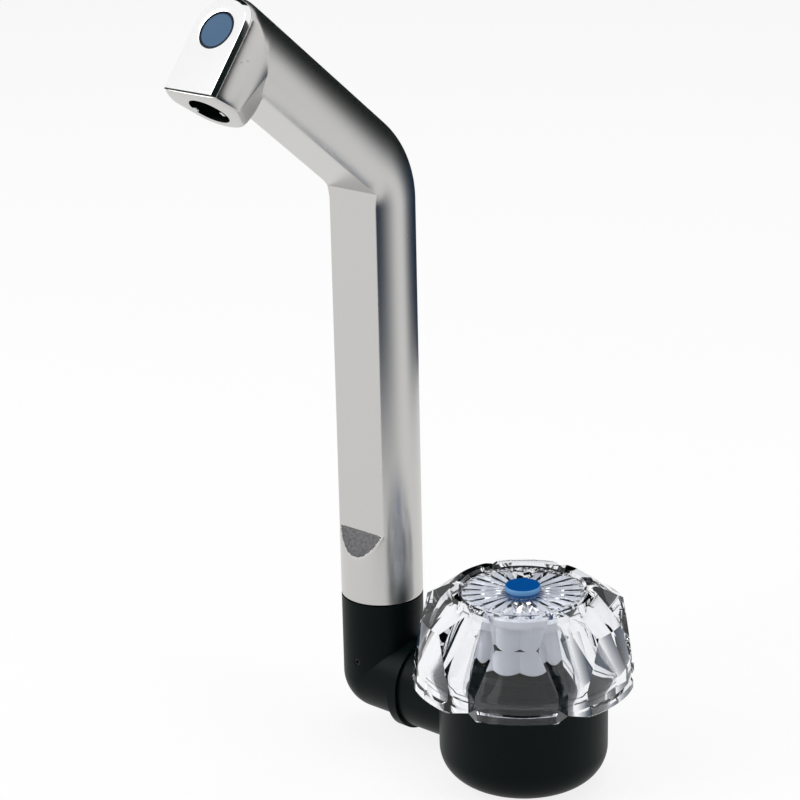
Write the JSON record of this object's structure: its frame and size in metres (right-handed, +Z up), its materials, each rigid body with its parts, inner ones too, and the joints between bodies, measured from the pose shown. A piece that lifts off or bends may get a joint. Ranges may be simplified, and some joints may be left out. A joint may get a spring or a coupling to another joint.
{
  "type": "folding cold-water tap",
  "caption": "Folding cold-water tap: cup base with a clear lobed knob, side elbow, and a flat-fronted bent metal spout that folds down and swivels.",
  "frame": {"origin": "on the cup's axis where the gasket meets the worktop", "axes": "+Z up along the threaded shank and knob, spout reaching towards -Y, side elbow towards -X"},
  "size_m": [0.0803, 0.084, 0.2539],
  "materials": {
    "black_plastic": "satin",
    "seal_rubber": "matte",
    "plated_steel": "zinc plated",
    "black_steel": "black oxide",
    "spring_steel": "plain",
    "brass": "machined",
    "satin_metal": "satin",
    "polished_metal": "polished",
    "blue_dot": "satin",
    "blue_cap": "gloss",
    "clear_acrylic": "clear",
    "frosted_plastic": "frosted"
  },
  "bodies": {
    "housing": {"base_shell": "black_plastic", "base_cover": "black_plastic", "deck_gasket": "seal_rubber", "valve_body": "brass", "inlet_stem": "brass", "valve_seat": "brass", "bonnet": "brass", "bonnet_seal": "seal_rubber", "fold_spigot": "brass", "fold_seals": "seal_rubber"},
    "elbow_body": {"elbow": "black_plastic", "lock_screw": "black_steel"},
    "spout": {"spout_tube": "satin_metal", "nose_plate": "polished_metal", "cold_dot": "blue_dot", "outlet_insert": "black_plastic", "spout_spigot": "brass", "spout_seals": "seal_rubber", "snap_ring": "spring_steel"},
    "knob_body": {"knob": "clear_acrylic", "hub_insert": "frosted_plastic", "knob_screw": "plated_steel", "cold_cap": "blue_cap", "spindle": "brass", "spindle_seals": "seal_rubber"},
    "valve": {"jumper": "brass", "valve_washer": "seal_rubber", "washer_screw": "brass"}
  },
  "joints": [
    {"name": "spout_fold", "type": "hinge", "parent": "housing", "child": "elbow_body", "pos_m": [-0.034, 0, 0.0155], "axis": [1, 0, 0], "range_deg": [0, 70]},
    {"name": "spout_swivel", "type": "hinge", "parent": "elbow_body", "child": "spout", "pos_m": [-0.044, 0, 0.036], "axis": [0, 0, 1], "range_deg": [-120, 120]},
    {"name": "knob_turn", "type": "hinge", "parent": "housing", "child": "knob_body", "pos_m": [0, 0, 0.0275], "axis": [0, 0, 1], "range_deg": [0, 270]},
    {"name": "valve_lift", "type": "slide", "parent": "housing", "child": "valve", "axis": [0, 0, 1], "range_m": [0, 0.0019]}
  ],
  "couplings": [
    {"joint": "valve_lift", "follows": "knob_turn", "m_per_rad": 0.00040314}
  ]
}
